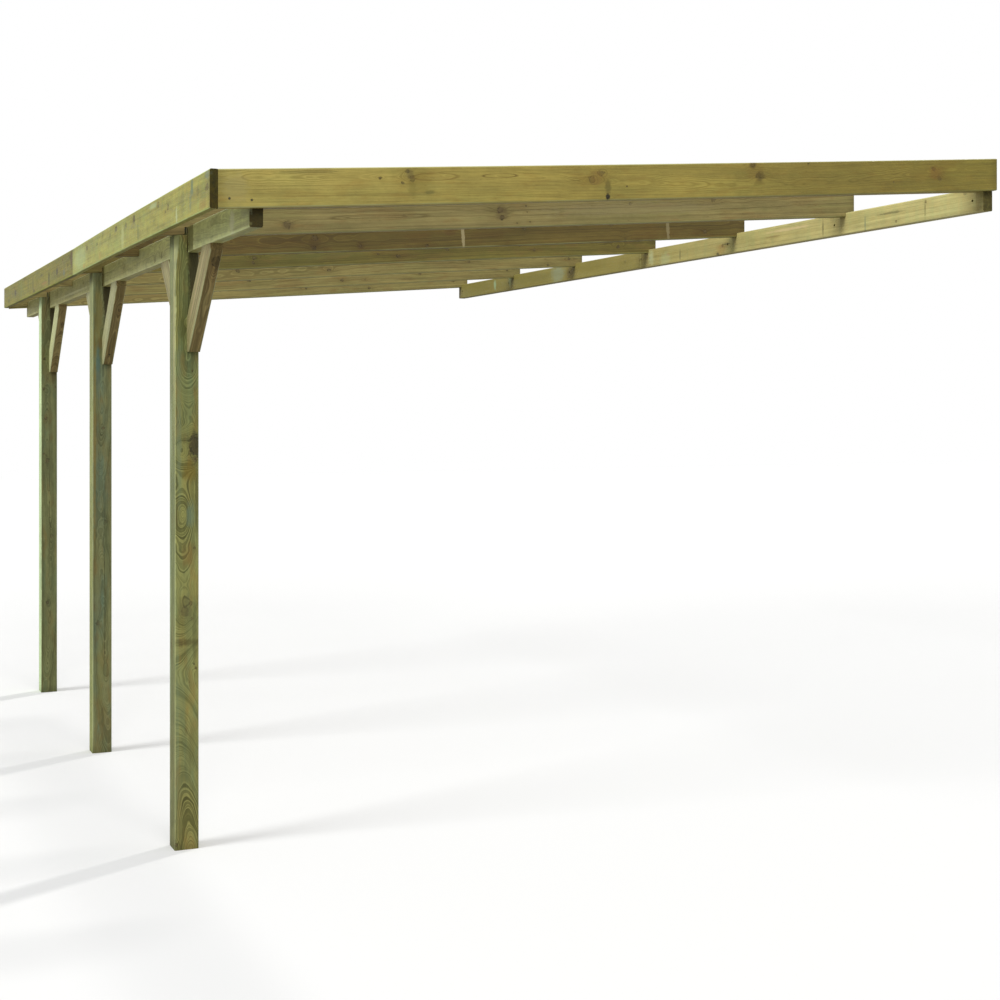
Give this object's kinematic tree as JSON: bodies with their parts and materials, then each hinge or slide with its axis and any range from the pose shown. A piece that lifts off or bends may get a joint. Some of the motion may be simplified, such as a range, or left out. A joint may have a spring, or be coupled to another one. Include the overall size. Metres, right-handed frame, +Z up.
{
  "type": "wall-mounted pergola",
  "caption": "Open lean-to timber pergola: posts and a knee-braced beam carry sloping rafters let into a wall plate, with boards around the roof's edge.",
  "frame": {"origin": "middle of the wall plate's back face, on the wall, 2470 mm above the ground", "axes": "+X along the wall towards the first rafter, +Y into the wall, +Z up"},
  "size_m": [5.499, 3.15, 2.6284],
  "materials": {
    "posts": "planed, pressure-treated green",
    "beam": "planed, pressure-treated green",
    "braces": "planed, pressure-treated green",
    "rafters": "planed, pressure-treated olive brown",
    "plate": "planed, pressure-treated pale yellow-green",
    "boards": "planed, pressure-treated yellow olive"
  },
  "bodies": {
    "root": {"wall_plate": "plate", "beam": "beam", "gutter_board_1": "boards", "gutter_board_2": "boards", "side_board_1": "boards", "side_board_2": "boards", "post_1": "posts", "post_2": "posts", "post_3": "posts", "brace_1a": "braces", "brace_1b": "braces", "brace_2a": "braces", "brace_2b": "braces", "brace_3a": "braces", "brace_3b": "braces", "rafter_1": "rafters", "rafter_2": "rafters", "rafter_3": "rafters", "rafter_4": "rafters", "rafter_5": "rafters", "rafter_6": "rafters", "rafter_7": "rafters"}
  },
  "joints": []
}
